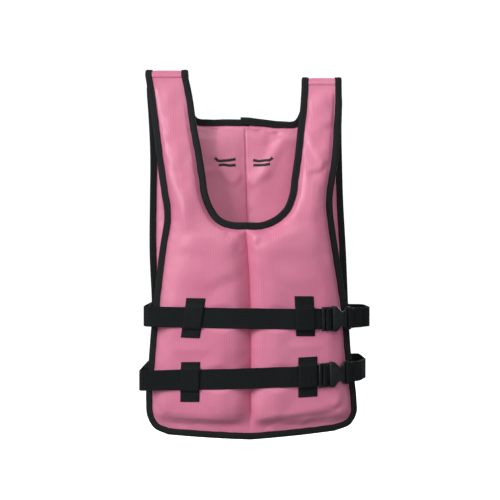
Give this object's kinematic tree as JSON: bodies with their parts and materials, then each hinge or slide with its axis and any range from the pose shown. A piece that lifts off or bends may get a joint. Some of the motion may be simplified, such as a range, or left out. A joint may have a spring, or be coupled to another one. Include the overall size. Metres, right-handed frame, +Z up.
{
  "type": "life jacket",
  "caption": "Pink over-the-head foam life jacket with black binding and belts with side-release buckles, hanging by its shoulder straps.",
  "frame": {"origin": "midway between the two shoulder folds, at the inside of the folds, where the straps hang over a rail or a shoulder", "axes": "+Z up along the hanging jacket, the front faces -Y, +X to the right of someone who looks at the front"},
  "size_m": [0.4429, 0.1216, 0.7108],
  "materials": {
    "coated_cloth": "satin",
    "edge_tape": "matte",
    "webbing": "matte",
    "buckle_plastic": "satin"
  },
  "bodies": {
    "root": {"front_panel": "coated_cloth", "back_panel": "coated_cloth", "edge_tape": "edge_tape", "neck_tape": "edge_tape", "belt_upper": "webbing", "belt_lower": "webbing", "buckle_upper_socket": "buckle_plastic", "buckle_upper_plug": "buckle_plastic", "buckle_lower_socket": "buckle_plastic", "buckle_lower_plug": "buckle_plastic", "keeper_upper_left": "webbing", "keeper_upper_right": "webbing", "keeper_lower_left": "webbing", "keeper_lower_right": "webbing", "hang_loop": "webbing"}
  },
  "joints": []
}
